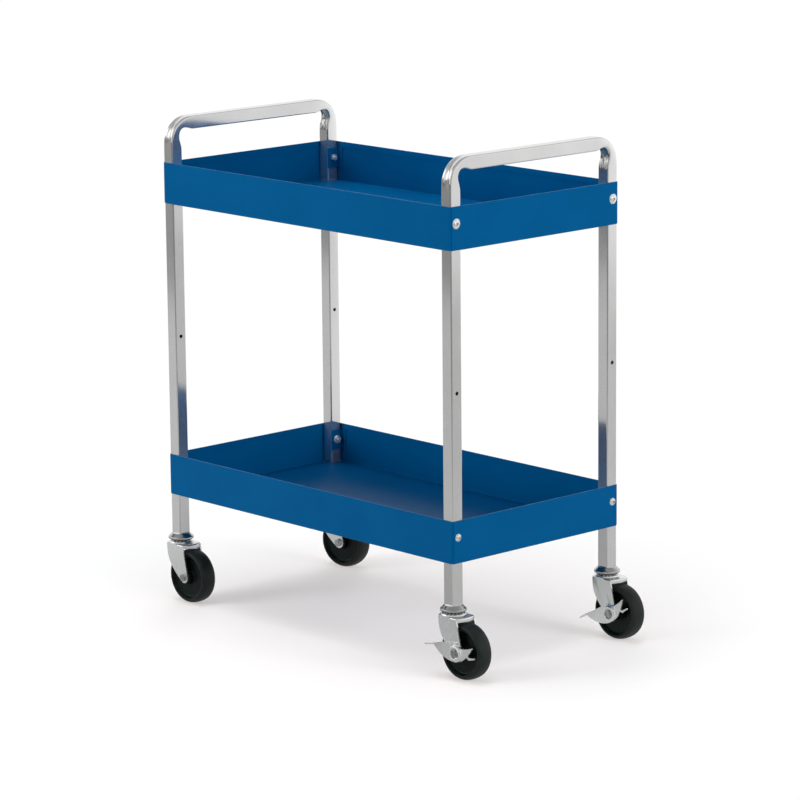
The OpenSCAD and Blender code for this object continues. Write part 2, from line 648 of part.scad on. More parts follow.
module nut_rr() { color(steel) at_caster(1) axle_nut(brake_out); }
module sleeve_rr() { color(steel) at_caster(1) sleeve(); }
module wheel_rr() { color(rubber) at_caster(1) wheel(); }
module plug_fl() { color(rubber) at_leg(2) plug(); }
module pin_fl() { color(steel) at_leg(2) kingpin(); }
module cover_fl() { color(steel) at_leg(2) cover(); }
module balls_fl() { color(steel) at_caster(2) balls(); }
module yoke_fl() { color(steel) at_caster(2) yoke(); }
module bolt_fl() { color(steel) at_caster(2) axle_bolt(plain_out); }
module nut_fl() { color(steel) at_caster(2) axle_nut(plain_out); }
module sleeve_fl() { color(steel) at_caster(2) sleeve(); }
module wheel_fl() { color(rubber) at_caster(2) wheel(); }
module plug_fr() { color(rubber) at_leg(3) plug(); }
module pin_fr() { color(steel) at_leg(3) kingpin(); }
module cover_fr() { color(steel) at_leg(3) cover(); }
module balls_fr() { color(steel) at_caster(3) balls(); }
module yoke_fr() { color(steel) at_caster(3) yoke(); }
module bolt_fr() { color(steel) at_caster(3) axle_bolt(plain_out); }
module nut_fr() { color(steel) at_caster(3) axle_nut(plain_out); }
module sleeve_fr() { color(steel) at_caster(3) sleeve(); }
module wheel_fr() { color(rubber) at_caster(3) wheel(); }
module lever_rl() { color(steel) at_brake(0, 0) lever(); }
module lever_rr() { color(steel) at_brake(1, brake_turn) lever(); }
module lever_washer_rl() { color(steel) at_caster(0) lever_washer(); }
module lever_washer_rr() { color(steel) at_caster(1) lever_washer(); }

frame_rear();
frame_front();
tray_upper();
tray_lower();
brackets_upper();
brackets_lower();
screws_upper();
screws_lower();
nuts_upper();
nuts_lower();
plug_rl();
pin_rl();
cover_rl();
balls_rl();
yoke_rl();
bolt_rl();
nut_rl();
sleeve_rl();
wheel_rl();
plug_rr();
pin_rr();
cover_rr();
balls_rr();
yoke_rr();
bolt_rr();
nut_rr();
sleeve_rr();
wheel_rr();
plug_fl();
pin_fl();
cover_fl();
balls_fl();
yoke_fl();
bolt_fl();
nut_fl();
sleeve_fl();
wheel_fl();
plug_fr();
pin_fr();
cover_fr();
balls_fr();
yoke_fr();
bolt_fr();
nut_fr();
sleeve_fr();
wheel_fr();
lever_rl();
lever_rr();
lever_washer_rl();
lever_washer_rr();
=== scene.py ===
# %% [markdown]
# # A rolling utility cart, dressed in Blender
# The solids of the cart come ready from its CAD model, each in its place. This lesson gives them
# their finishes, and remakes the pieces whose smooth shape matters most under studio light. The
# first cell loads the frame that everything hangs on.

# %% load the frame
import bpy
import bmesh
import json
import math
from mathutils import Vector, Matrix


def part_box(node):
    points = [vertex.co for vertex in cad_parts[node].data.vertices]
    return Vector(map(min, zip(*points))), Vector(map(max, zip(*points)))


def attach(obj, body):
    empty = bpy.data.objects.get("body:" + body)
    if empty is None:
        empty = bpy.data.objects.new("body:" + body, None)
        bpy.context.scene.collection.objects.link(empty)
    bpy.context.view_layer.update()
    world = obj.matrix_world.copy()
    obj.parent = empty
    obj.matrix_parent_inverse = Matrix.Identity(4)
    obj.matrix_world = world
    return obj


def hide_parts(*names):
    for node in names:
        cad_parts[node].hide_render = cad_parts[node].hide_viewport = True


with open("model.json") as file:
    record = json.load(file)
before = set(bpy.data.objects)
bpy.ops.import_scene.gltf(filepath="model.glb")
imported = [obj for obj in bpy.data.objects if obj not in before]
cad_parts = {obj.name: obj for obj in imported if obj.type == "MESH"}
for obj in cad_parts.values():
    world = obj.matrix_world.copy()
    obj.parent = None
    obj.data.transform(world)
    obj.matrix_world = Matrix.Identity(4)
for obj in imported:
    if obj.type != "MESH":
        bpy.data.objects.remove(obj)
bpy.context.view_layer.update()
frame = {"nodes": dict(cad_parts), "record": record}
nodes = frame["nodes"]
scene = bpy.context.scene
joint_list = frame["record"]["behaviour"]["joints"]
joint_place = {j["name"]: Vector(j["pos_m"]) for j in joint_list}
joint_axis = {j["name"]: Vector(j["axis"]) for j in joint_list}

# %% [markdown]
# ## The camera
# The photograph was taken from far away with a long lens, 47 degrees round from the long side and
# 12 degrees above the floor. The place, the lens and the small roll come from fitting the cart's
# known corners to where they fall in the picture. The camera is built from its three axes, and
# its place is counted from the middle of the trays.

# %% camera
AZIMUTH, ELEVATION, ROLL = math.radians(47.3324), math.radians(11.8297), math.radians(-0.5429)
DISTANCE, SIDE_STEP, RISE = 7.009450, 0.021074, -0.044663
AIM_HEIGHT, LENS_MM, SENSOR_MM = 0.45, 174.4395, 36.0

back = Vector((math.sin(AZIMUTH) * math.cos(ELEVATION),
               -math.cos(AZIMUTH) * math.cos(ELEVATION),
               math.sin(ELEVATION)))
right = Vector((math.cos(AZIMUTH), math.sin(AZIMUTH), 0.0))
up = back.cross(right)
tray_low, tray_high = Vector(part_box("tray_upper")[0]), Vector(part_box("tray_upper")[1])
middle = (tray_low + tray_high) / 2
place = Vector((middle.x, middle.y, AIM_HEIGHT)) + right * SIDE_STEP + up * RISE + back * DISTANCE
rolled_right = right * math.cos(ROLL) + up * math.sin(ROLL)
rolled_up = up * math.cos(ROLL) - right * math.sin(ROLL)

lens_data = bpy.data.cameras.new("photo_camera")
lens_data.lens = LENS_MM
lens_data.sensor_width = SENSOR_MM
lens_data.clip_start = 0.05
lens_data.clip_end = 200.0
camera = bpy.data.objects.new("photo_camera", lens_data)
scene.collection.objects.link(camera)
camera.matrix_world = Matrix((
    (rolled_right.x, rolled_up.x, back.x, place.x),
    (rolled_right.y, rolled_up.y, back.y, place.y),
    (rolled_right.z, rolled_up.z, back.z, place.z),
    (0.0, 0.0, 0.0, 1.0)))
scene.camera = camera
print("camera at", [round(v, 3) for v in place])

# %% [markdown]
# ## Studio light
# Chrome shows its surroundings, so the room matters as much as the lamps. The room that the metal
# sees is light all round, with a few cards in it, as a photographer sets them up: a dim card to
# the left, a bright soft box over it, a dark card over that, and a dim patch where the camera
# stands. Each card is a soft round spot in one direction. The light that falls on the paint is
# kept apart, so that colours come out as written.

# %% world
scene.view_settings.view_transform = "Standard"
# sockets of a colour Mix node
FACTOR, FIRST_COLOUR, SECOND_COLOUR, MIXED_COLOUR = 0, 6, 7, 2
WHITE = (1.0, 1.0, 1.0, 1.0)
PAINT_FILL = 0.15

world = bpy.data.worlds.new("studio")
scene.world = world
world.use_nodes = True
wn, wl = world.node_tree.nodes, world.node_tree.links
wn.clear()
w_coord = wn.new("ShaderNodeTexCoord")
w_split = wn.new("ShaderNodeSeparateXYZ")
w_ramp = wn.new("ShaderNodeValToRGB")
wl.new(w_coord.outputs["Generated"], w_split.inputs[0])
wl.new(w_split.outputs["Z"], w_ramp.inputs["Fac"])
steps = w_ramp.color_ramp.elements
steps[0].position, steps[0].color = 0.0, (0.92, 0.92, 0.92, 1.0)
steps[1].position, steps[1].color = 1.0, (0.30, 0.30, 0.31, 1.0)
for height, level in ((0.30, 0.90), (0.55, 0.72), (0.80, 0.42)):
    step = steps.new(height)
    step.color = (level, level, level, 1.0)


def add_card(behind, direction, rim, core, level):
    # rim and core are the cosines at which the card begins and is full
    dot = wn.new("ShaderNodeVectorMath")
    dot.operation = "DOT_PRODUCT"
    dot.inputs[1].default_value = Vector(direction).normalized()
    edge = wn.new("ShaderNodeMapRange")
    edge.interpolation_type = "SMOOTHSTEP"
    edge.inputs["From Min"].default_value = rim
    edge.inputs["From Max"].default_value = core
    mix = wn.new("ShaderNodeMix")
    mix.data_type = "RGBA"
    mix.inputs[SECOND_COLOUR].default_value = (level, level, level, 1.0)
    wl.new(w_coord.outputs["Generated"], dot.inputs[0])
    wl.new(dot.outputs["Value"], edge.inputs["Value"])
    wl.new(edge.outputs["Result"], mix.inputs[FACTOR])
    wl.new(behind, mix.inputs[FIRST_COLOUR])
    return mix.outputs[MIXED_COLOUR]


# direction, cosine at the rim, cosine where it is full, brightness
CARDS = (((-0.72, -0.66, -0.05), 0.90, 0.99, 0.20),
         ((-0.72, -0.55, 0.42), 0.955, 0.975, 1.7),
         ((-0.72, -0.24, 0.65), 0.975, 0.990, 0.04),
         ((0.72, -0.66, 0.05), 0.70, 0.95, 0.28))
seen = w_ramp.outputs["Color"]
for card in CARDS:
    seen = add_card(seen, *card)

w_seen = wn.new("ShaderNodeBackground")
w_white = wn.new("ShaderNodeBackground")
w_fill = wn.new("ShaderNodeBackground")
w_white.inputs["Color"].default_value = WHITE
w_fill.inputs["Color"].default_value = WHITE
w_fill.inputs["Strength"].default_value = PAINT_FILL
w_path = wn.new("ShaderNodeLightPath")
w_metal = wn.new("ShaderNodeMath")
w_metal.operation = "MAXIMUM"
w_inner = wn.new("ShaderNodeMixShader")
w_outer = wn.new("ShaderNodeMixShader")
w_out = wn.new("ShaderNodeOutputWorld")
wl.new(seen, w_seen.inputs["Color"])
wl.new(w_path.outputs["Is Glossy Ray"], w_metal.inputs[0])
wl.new(w_path.outputs["Is Transmission Ray"], w_metal.inputs[1])
wl.new(w_metal.outputs[0], w_inner.inputs["Fac"])
wl.new(w_fill.outputs[0], w_inner.inputs[1])
wl.new(w_seen.outputs[0], w_inner.inputs[2])
wl.new(w_path.outputs["Is Camera Ray"], w_outer.inputs["Fac"])
wl.new(w_inner.outputs[0], w_outer.inputs[1])
wl.new(w_white.outputs[0], w_outer.inputs[2])
wl.new(w_outer.outputs[0], w_out.inputs["Surface"])
print("world with", len(CARDS), "cards")


# %% [markdown]
# ### Lamps
# Four large soft lamps light the paint and throw the shadow: one overhead, one at each side of
# the camera and one behind. A metal would show each of them as a hard rectangle, so they are left
# out of its reflections, and the cards of the room take that part.

# %% lamps
def soft_lamp(name, spot, aim, size, power):
    data = bpy.data.lights.new(name, "AREA")
    data.shape = "RECTANGLE"
    data.size, data.size_y = size
    data.energy = power
    lamp = bpy.data.objects.new(name, data)
    scene.collection.objects.link(lamp)
    lamp.location = spot
    lamp.rotation_euler = (Vector(aim) - Vector(spot)).to_track_quat("-Z", "Y").to_euler()
    lamp.visible_glossy = False


# name, place, aim, size, watts
LAMPS = (("overhead_softbox", (-0.2, -0.3, 4.2), (0.0, 0.0, 0.2), (3.2, 2.4), 104.0),
         ("left_fill", (-2.0, -4.6, 1.7), (0.0, 0.0, 0.5), (2.4, 2.4), 160.0),
         ("right_fill", (4.7, 0.6, 1.6), (0.0, 0.0, 0.5), (2.4, 2.4), 142.0),
         ("back_fill", (-3.4, 3.8, 1.9), (0.0, 0.0, 0.6), (2.4, 2.4), 70.0))
for lamp_facts in LAMPS:
    soft_lamp(*lamp_facts)
print(len(LAMPS), "lamps")

# %% [markdown]
# ## Floor
# A white floor that runs out of sight. Near the cart it is a matt surface that takes the shadow,
# a little lifted so that the shadow stays soft, and further out it fades into the white
# background. The chrome sees the same floor as a light grey, dimmer under the cart and to the
# front and left, brighter to the right and behind. That models the sides of the tubes.

# %% floor plane
bpy.ops.object.select_all(action="DESELECT")
FLOOR_SIZE, FLOOR_DROP = 60.0, 0.0005
bpy.ops.mesh.primitive_plane_add(size=FLOOR_SIZE, location=(0.0, 0.0, -FLOOR_DROP))
floor = bpy.context.object
floor.name = "studio_floor"
floor_mat = bpy.data.materials.new("studio_floor_white")
floor_mat.use_nodes = True
fn, fl = floor_mat.node_tree.nodes, floor_mat.node_tree.links
fn.clear()


def floor_range(value, start, end, low, high):
    node = fn.new("ShaderNodeMapRange")
    node.interpolation_type = "SMOOTHSTEP"
    node.inputs["From Min"].default_value = start
    node.inputs["From Max"].default_value = end
    node.inputs["To Min"].default_value = low
    node.inputs["To Max"].default_value = high
    fl.new(value, node.inputs["Value"])
    return node.outputs["Result"]


def floor_math(operation, first, second):
    node = fn.new("ShaderNodeMath")
    node.operation = operation
    for socket, value in zip(node.inputs, (first, second)):
        if isinstance(value, float):
            socket.default_value = value
        else:
            fl.new(value, socket)
    return node.outputs[0]


def floor_vector(operation, other=None):
    # a distance or direction on the floor, counted from its middle
    node = fn.new("ShaderNodeVectorMath")
    node.operation = operation
    fl.new(f_coord.outputs["Object"], node.inputs[0])
    if other:
        node.inputs[1].default_value = other
    return node.outputs["Value"]


f_coord = fn.new("ShaderNodeTexCoord")
print("floor", FLOOR_SIZE, "m wide")

# %% [markdown]
# ### The floor in the chrome
# In a tube the floor shows as soft bands of grey, and they are what models its sides. So this
# grey is a sum of soft steps: a middle level, and what each part of the floor adds to it or
# takes away. Two directions are enough for that, one to the right of the
# picture and one to its front, and one spot under the cart that lies in shadow.

# %% grey floor
TO_RIGHT, TO_FRONT, SHADED_SPOT = (0.735, 0.678, 0.0), (0.678, -0.735, 0.0), (-0.15, -0.35, 0.0)
SEEN_LEVEL, DIMMEST = 0.56, 0.10
f_side = floor_vector("DOT_PRODUCT", TO_RIGHT)
f_front = floor_vector("DOT_PRODUCT", TO_FRONT)
f_near_left = floor_vector("DISTANCE", SHADED_SPOT)
to_right = floor_range(f_side, 3.3, 4.7, 0.0, 0.26)
to_left = floor_range(f_side, -4.1, -3.2, -0.29, 0.0)
to_camera = floor_range(f_front, 0.8, 3.0, 0.0, -0.30)
under = floor_range(f_near_left, 0.30, 0.80, -0.14, 0.0)
front_strip = floor_range(f_front, 0.02, 0.36, 0.0, -0.06)
back_strip = floor_range(f_front, -0.40, -0.22, 0.32, 0.0)
behind = floor_range(f_side, 0.5, 1.5, 0.0, 1.0)
level = floor_math("ADD", to_right, to_left)
behind_strip = floor_math("MULTIPLY", back_strip, behind)
for part in (to_camera, under, front_strip, behind_strip, SEEN_LEVEL):
    level = floor_math("ADD", level, part)
level = floor_math("MAXIMUM", level, DIMMEST)
f_grey = fn.new("ShaderNodeEmission")
fl.new(level, f_grey.inputs["Strength"])
print("grey floor around level", SEEN_LEVEL)

# %% [markdown]
# ### The floor in the picture
# A matt grey takes the shadow. A little light of its own lifts it to nearly white, a touch warm
# close to the cart, and further out it fades to the plain white of the background, so that the
# floor has no edge. The light path tells the two floors apart: what the camera sees is this one,
# and what a glossy surface sees is the grey one.

# %% white floor
MATT_GREY, BACKGROUND, LIFT = 0.58, 1.02, 0.46
WARM_WHITE = (1.0, 0.94, 0.92, 1.0)
f_matt = fn.new("ShaderNodeBsdfDiffuse")
f_matt.inputs["Color"].default_value = (MATT_GREY, MATT_GREY, MATT_GREY, 1.0)
f_white = fn.new("ShaderNodeEmission")
f_white.inputs["Color"].default_value = WHITE
f_white.inputs["Strength"].default_value = BACKGROUND
f_far_out = floor_vector("LENGTH")
f_path = fn.new("ShaderNodeLightPath")
f_lift = fn.new("ShaderNodeEmission")
f_warm = fn.new("ShaderNodeMix")
f_warm.data_type = "RGBA"
f_warm.inputs[FIRST_COLOUR].default_value = WARM_WHITE
f_warm.inputs[SECOND_COLOUR].default_value = WHITE
fl.new(floor_range(f_far_out, 0.35, 0.75, 0.0, 1.0), f_warm.inputs[FACTOR])
fl.new(f_warm.outputs[MIXED_COLOUR], f_lift.inputs["Color"])
f_near = fn.new("ShaderNodeAddShader")
f_far = fn.new("ShaderNodeMixShader")
f_mix = fn.new("ShaderNodeMixShader")
f_out = fn.new("ShaderNodeOutputMaterial")
fade = floor_range(f_far_out, 0.70, 1.15, 0.0, 1.0)
fade = floor_math("MAXIMUM", fade, floor_range(f_side, 0.46, 0.86, 0.0, 1.0))
fl.new(floor_math("MULTIPLY", f_path.outputs["Is Camera Ray"], LIFT), f_lift.inputs["Strength"])
fl.new(f_matt.outputs[0], f_near.inputs[0])
fl.new(f_lift.outputs[0], f_near.inputs[1])
fl.new(floor_math("MULTIPLY", fade, f_path.outputs["Is Camera Ray"]), f_far.inputs["Fac"])
fl.new(f_near.outputs[0], f_far.inputs[1])
fl.new(f_white.outputs[0], f_far.inputs[2])
fl.new(f_path.outputs["Is Glossy Ray"], f_mix.inputs["Fac"])
fl.new(f_far.outputs[0], f_mix.inputs[1])
fl.new(f_grey.outputs[0], f_mix.inputs[2])
fl.new(f_mix.outputs[0], f_out.inputs["Surface"])
floor.data.materials.append(floor_mat)
print("white floor joined with the grey one")

# %% [markdown]
# ## Finishes
# Every finish starts from one principled shader. A little noise on Object coordinates varies
# colour, roughness and height, so that nothing is one flat value. Numbers that are the same all
# over are set on the shader itself.


# %% finish helpers
def new_finish(name):
    mat = bpy.data.materials.new(name)
    mat.use_nodes = True
    shader = mat.node_tree.nodes["Principled BSDF"]
    coord = mat.node_tree.nodes.new("ShaderNodeTexCoord")
    return mat, shader, coord


def add_noise(mat, coord, scale, detail=3.0, stretch=None):
    nt = mat.node_tree
    noise = nt.nodes.new("ShaderNodeTexNoise")
    noise.inputs["Scale"].default_value = scale
    noise.inputs["Detail"].default_value = detail
    noise.inputs["Roughness"].default_value = 0.5
    if stretch:
        mapping = nt.nodes.new("ShaderNodeMapping")
        mapping.inputs["Scale"].default_value = stretch
        nt.links.new(coord.outputs["Object"], mapping.inputs["Vector"])
        nt.links.new(mapping.outputs["Vector"], noise.inputs["Vector"])
    else:
        nt.links.new(coord.outputs["Object"], noise.inputs["Vector"])
    return noise


# the part of the noise's range over which a finish goes from its low to its high end
NOISE_LOW, NOISE_HIGH = 0.3, 0.7


def vary_value(mat, noise, socket, low, high):
    nt = mat.node_tree
    spread = nt.nodes.new("ShaderNodeMapRange")
    spread.inputs["From Min"].default_value = NOISE_LOW
    spread.inputs["From Max"].default_value = NOISE_HIGH
    spread.inputs["To Min"].default_value = low
    spread.inputs["To Max"].default_value = high
    nt.links.new(noise.outputs["Fac"], spread.inputs["Value"])
    nt.links.new(spread.outputs["Result"], socket)


def vary_colour(mat, noise, socket, dark, light):
    nt = mat.node_tree
    ramp = nt.nodes.new("ShaderNodeValToRGB")
    ramp.color_ramp.elements[0].position = NOISE_LOW
    ramp.color_ramp.elements[0].color = (*dark, 1.0)
    ramp.color_ramp.elements[1].position = NOISE_HIGH
    ramp.color_ramp.elements[1].color = (*light, 1.0)
    nt.links.new(noise.outputs["Fac"], ramp.inputs["Fac"])
    nt.links.new(ramp.outputs["Color"], socket)


def add_bump(mat, shader, coord, scale, strength, distance, detail=3.0, stretch=None, swirl=0.0):
    nt = mat.node_tree
    noise = add_noise(mat, coord, scale, detail=detail, stretch=stretch)
    noise.inputs["Distortion"].default_value = swirl
    bump = nt.nodes.new("ShaderNodeBump")
    bump.inputs["Strength"].default_value = strength
    bump.inputs["Distance"].default_value = distance
    nt.links.new(noise.outputs["Fac"], bump.inputs["Height"])
    nt.links.new(bump.outputs["Normal"], shader.inputs["Normal"])


def clouded(name, scale, dark, light, roughness, metallic=0.0, detail=3.0):
    # one noise drives both the shade and the roughness
    mat, shader, coord = new_finish(name)
    shader.inputs["Metallic"].default_value = metallic
    cloud = add_noise(mat, coord, scale, detail=detail)
    vary_colour(mat, cloud, shader.inputs["Base Color"], dark, light)
    vary_value(mat, cloud, shader.inputs["Roughness"], *roughness)
    print(name)
    return mat, shader, coord


# %% [markdown]
# ### Blue powder coat
# The trays are sprayed a clear medium blue with a soft gloss. Powder coat is never quite flat: it
# has a faint orange peel, made here by a fine noise in the bump, and its shade drifts a little.

# %% blue powder coat
tray_blue, s, c = clouded("tray_blue_powder_coat", 9.0, (0.0004, 0.090, 0.254),
                          (0.0006, 0.099, 0.274), (0.34, 0.40), detail=4.0)
add_bump(tray_blue, s, c, 900.0, 0.05, 0.0002, detail=2.0)
s.inputs["Specular IOR Level"].default_value = 0.06
s.inputs["Specular Tint"].default_value = (0.02, 0.40, 1.0, 1.0)

# %% [markdown]
# ### Bright chrome
# The tube is polished chrome: a metal with little roughness and a grey of its own. A drawn tube
# has faint lines along its length, and a noise stretched along the tube, very shallow in the
# bump, gives them to the legs.

# %% chrome
tube_chrome, s, c = clouded("tube_chrome", 14.0, (0.76, 0.76, 0.755), (0.81, 0.81, 0.805),
                            (0.07, 0.12), metallic=0.90)
add_bump(tube_chrome, s, c, 60.0, 0.03, 0.0006, detail=1.0, stretch=(1.0, 1.0, 0.08))

# %% [markdown]
# ### Chrome with painted shade on the pressed walls
# Where the bends are pressed in, the wall is creased. The creases are finer than the rings of a
# loft can follow, so a swirled noise makes them in the bump, deep enough to break up the
# reflections, and a darker grey is painted shade in the creased walls.

# %% chrome on the pressed walls
bend_chrome_painted_shade, s, c = clouded("tube_chrome_pressed_wall_painted_shade", 40.0, (0.40, 0.40, 0.39),
                            (0.52, 0.52, 0.51), (0.06, 0.10), metallic=0.80)
add_bump(bend_chrome_painted_shade, s, c, 110.0, 1.0, 0.0045, detail=1.0, stretch=(1.0, 0.30, 0.34), swirl=1.2)

# %% [markdown]
# ### Zinc plate and race covers
# The caster stampings are bright zinc, softer in their shine than chrome and slightly cloudy. The
# turned covers over the ball races are a darker plate, so that their steps read, and the faces
# inside each cover's undercut are painted nearly black, as painted shade in the gap.

# %% zinc plate and race covers
caster_zinc, s, c = clouded("caster_zinc_plate", 55.0, (0.91, 0.92, 0.92), (0.97, 0.98, 0.98),
                            (0.18, 0.30), metallic=0.90, detail=4.0)
add_bump(caster_zinc, s, c, 1400.0, 0.05, 0.0002, detail=2.0)

cover_plate, s, c = clouded("race_cover_bright_plate", 120.0, (0.52, 0.53, 0.53),
                            (0.66, 0.67, 0.67), (0.18, 0.28), metallic=1.0)
# painted shade: nearly black for the faces in the undercut of each cover, where the gap lies in
# shade
race_gap_painted_shade, s, c = clouded("cover_gap_painted_shade", 200.0, (0.010, 0.010, 0.010), (0.022, 0.021, 0.020),
                          (0.45, 0.60))

# %% [markdown]
# ### Plated fasteners
# Screws and nuts are bright plated steel. The axle bolts and their nuts are a darker steel, which
# sets them off from the fork, and the same darker steel paints shade into the screws' cross
# recesses. The only difference from the plate above is in the shade and the roughness, so the same
# few lines make them.

# %% plated fasteners
fastener_steel, s, c = clouded("fastener_plated_steel", 160.0, (0.88, 0.88, 0.87),
                               (0.96, 0.96, 0.95), (0.18, 0.30), metallic=0.72)
axle_steel_and_recess_shade, s, c = clouded("axle_steel_and_recess_shade", 180.0, (0.42, 0.42, 0.42), (0.58, 0.58, 0.57),
                           (0.20, 0.32), metallic=1.0)

# %% [markdown]
# ### Rubbers
# The wheels are hard black rubber. The tread is a touch lighter and rougher than the sides, with a
# higher specular level. Rubber under large soft lamps easily turns grey, so the specular levels
# are kept low. The plugs in the legs are plain and matt.

# %% rubbers
wheel_rubber, s, c = clouded("wheel_hard_rubber", 38.0, (0.002, 0.0050, 0.0045),
                             (0.005, 0.0085, 0.0080), (0.24, 0.32), detail=4.0)
add_bump(wheel_rubber, s, c, 1800.0, 0.08, 0.0002)
s.inputs["Specular IOR Level"].default_value = 0.16

tread_rubber, s, c = clouded("wheel_tread_rubber", 60.0, (0.006, 0.0105, 0.0095),
                             (0.012, 0.0170, 0.0155), (0.42, 0.55), detail=5.0)
add_bump(tread_rubber, s, c, 700.0, 0.12, 0.0003, detail=4.0)
s.inputs["Specular IOR Level"].default_value = 0.30

plug_rubber, s, c = clouded("leg_plug_rubber", 80.0, (0.020, 0.020, 0.020),
                            (0.034, 0.034, 0.034), (0.6, 0.75))

# %% [markdown]
# ### Finishes onto the solids
# The record gives each solid a slot, which is the kind of finish that it wears. One table leads
# from the slot to the material, so one loop dresses them all. Slot and body are noted for each,
# because a hand-made piece takes over those of the solid it stands for.

# %% finishes onto the solids
finish_of_slot = {
    "chrome_tube": tube_chrome, "blue_paint": tray_blue, "plated_caster": caster_zinc,
    "plated_fasteners": fastener_steel, "wheel_black": wheel_rubber, "plug_rubber": plug_rubber}
slot_of_node, body_of_node = {}, {}
for sub in frame["record"]["subparts"]:
    node = nodes[sub["node"]]
    slot_of_node[sub["node"]] = sub["material_slot"]
    node.data.materials.clear()
    node.data.materials.append(finish_of_slot[sub["material_slot"]])
for body, members in frame["record"]["behaviour"]["bodies"].items():
    for member in members:
        body_of_node[member] = body
print("dressed", len(nodes), "solids")

# %% [markdown]
# ## Helpers for the hand-made pieces
# Each piece is begun with nothing else selected. Faces and edges are picked in code, by where
# they are, and a finished piece is given its finish, hung on the body of the solid it stands for,
# and shaded smooth up to an angle, with the broad flat faces left truly flat by weighted normals.


# %% piece helpers
def start_piece(name):
    piece = bpy.context.object
    piece.name = name
    piece.data.name = name
    bpy.ops.object.transform_apply(location=True, rotation=True, scale=True)
    return piece


def only(piece):
    bpy.ops.object.select_all(action="DESELECT")
    piece.select_set(True)
    bpy.context.view_layer.objects.active = piece


def pick_edges(piece, wanted):
    bpy.ops.mesh.select_mode(type="EDGE")
    bpy.ops.mesh.select_all(action="DESELECT")
    mesh = bmesh.from_edit_mesh(piece.data)
    for edge in mesh.edges:
        if wanted(edge.verts[0].co, edge.verts[1].co):
            edge.select_set(True)
    bmesh.update_edit_mesh(piece.data)


def pick_faces(piece, wanted):
    bpy.ops.mesh.select_mode(type="FACE")
    bpy.ops.mesh.select_all(action="DESELECT")
    mesh = bmesh.from_edit_mesh(piece.data)
    for face in mesh.faces:
        if wanted(face.calc_center_median(), face.normal):
            face.select_set(True)
    bmesh.update_edit_mesh(piece.data)


def apply_modifier(piece, kind, **settings):
    only(piece)
    modifier = piece.modifiers.new(kind.lower(), kind)
    for key, value in settings.items():
        setattr(modifier, key, value)
    bpy.ops.object.modifier_apply(modifier=modifier.name)


def cut(piece, cutter, operation="DIFFERENCE"):
    apply_modifier(piece, "BOOLEAN", operation=operation, object=cutter, solver="EXACT")
    bpy.data.objects.remove(cutter, do_unlink=True)


def join_all(pieces, name):
    bpy.ops.object.select_all(action="DESELECT")
    for piece in pieces:
        piece.select_set(True)
    bpy.context.view_layer.objects.active = pieces[0]
    bpy.ops.object.join()
    whole = bpy.context.object
    whole.name = name
    whole.data.name = name
    return whole


def block(name, low, high):
    bpy.ops.object.select_all(action="DESELECT")
    low, high = Vector(low), Vector(high)
    bpy.ops.mesh.primitive_cube_add(size=1.0, location=(low + high) / 2, scale=high - low)
    return start_piece(name)


def finish_piece(piece, stands_for, angle=32.0, finish=None):
    # a piece that already has two finishes on its faces keeps them
    only(piece)
    bpy.ops.object.shade_smooth_by_angle(angle=math.radians(angle))
    apply_modifier(piece, "WEIGHTED_NORMAL", keep_sharp=True)
    first = stands_for[0]
    if len(piece.data.materials) < 2:
        piece.data.materials.clear()
        piece.data.materials.append(finish or finish_of_slot[slot_of_node[first]])
    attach(piece, body_of_node[first])
    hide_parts(*stands_for)
    print(piece.name, len(piece.data.polygons), "faces")


# %% [markdown]
# ## The chromed end frames
# Each frame is one square tube, bent twice to an upside-down U. A tube bender pushes the inner
# side of such a bend in and lets the outer side sink a little. Extrude and spin would give the
# straight runs and a plain bend, but not a section that changes along the way, so this piece is
# lofted: one ring of points is worked out for each station along the tube, and the rings are
# joined by faces. The wall is real, so the inner skin has its own rings, and the screw holes are
# bored afterwards.

# %% tube sizes
frame_low, frame_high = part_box("frame_rear")
TUBE = frame_high[0] - frame_low[0]
WALL, CORNER, BEND = 0.0012, 0.0024, 0.034
# how far the inner wall is pushed in, how much further in its middle and how wide that groove is
PUSH, GROOVE, GROOVE_SHARE = 0.0095, 0.002, 0.72
# fine ripples that the press leaves, and how far apart they are
RIPPLE, RIPPLE_STEP = 0.0005, 0.0042
# how far the outer wall sinks, all over and in its middle
FLAT, DISH = 0.0002, 0.0016
# how much rounder the pressed section's outer and inner corners are
OUTER_ROUND, INNER_ROUND = 0.0020, 0.0007
# how far the press reaches into the leg and into the bar
LEAD_LEG, LEAD_BAR = 0.0135, 0.0065
# points across the inner and the outer wall
INNER_POINTS, OUTER_POINTS = 23, 19
# stations in the leg's lead, round the bend and in the bar's lead, and the plain tube before them
LEG_STEPS, ARC_STEPS, BAR_STEPS, PLAIN_LEAD = 6, 28, 5, 0.02
LEG_TOP = frame_high[2] - TUBE / 2 - BEND
print("tube", round(TUBE, 4), "leg top", round(LEG_TOP, 4))


# %% [markdown]
# ### The pressed section
# In each ring, a is the way out of the bend and b is the way across it. The plain section is a
# square with round corners. The press moves its inner wall in, its outer wall sinks a little, and
# the side walls are eased from one to the other. Ripples on the inner wall stand for the marks of
# the press.

# %% pressed section of the tube
def eased(t):
    t = min(max(t, 0.0), 1.0)
    return t * t * (3 - 2 * t)


def quarter(cx, cy, radius, first, count=6):
    angles = [math.radians(first + 90.0 * i / count) for i in range(count + 1)]
    return [(cx + radius * math.cos(a), cy + radius * math.sin(a)) for a in angles]


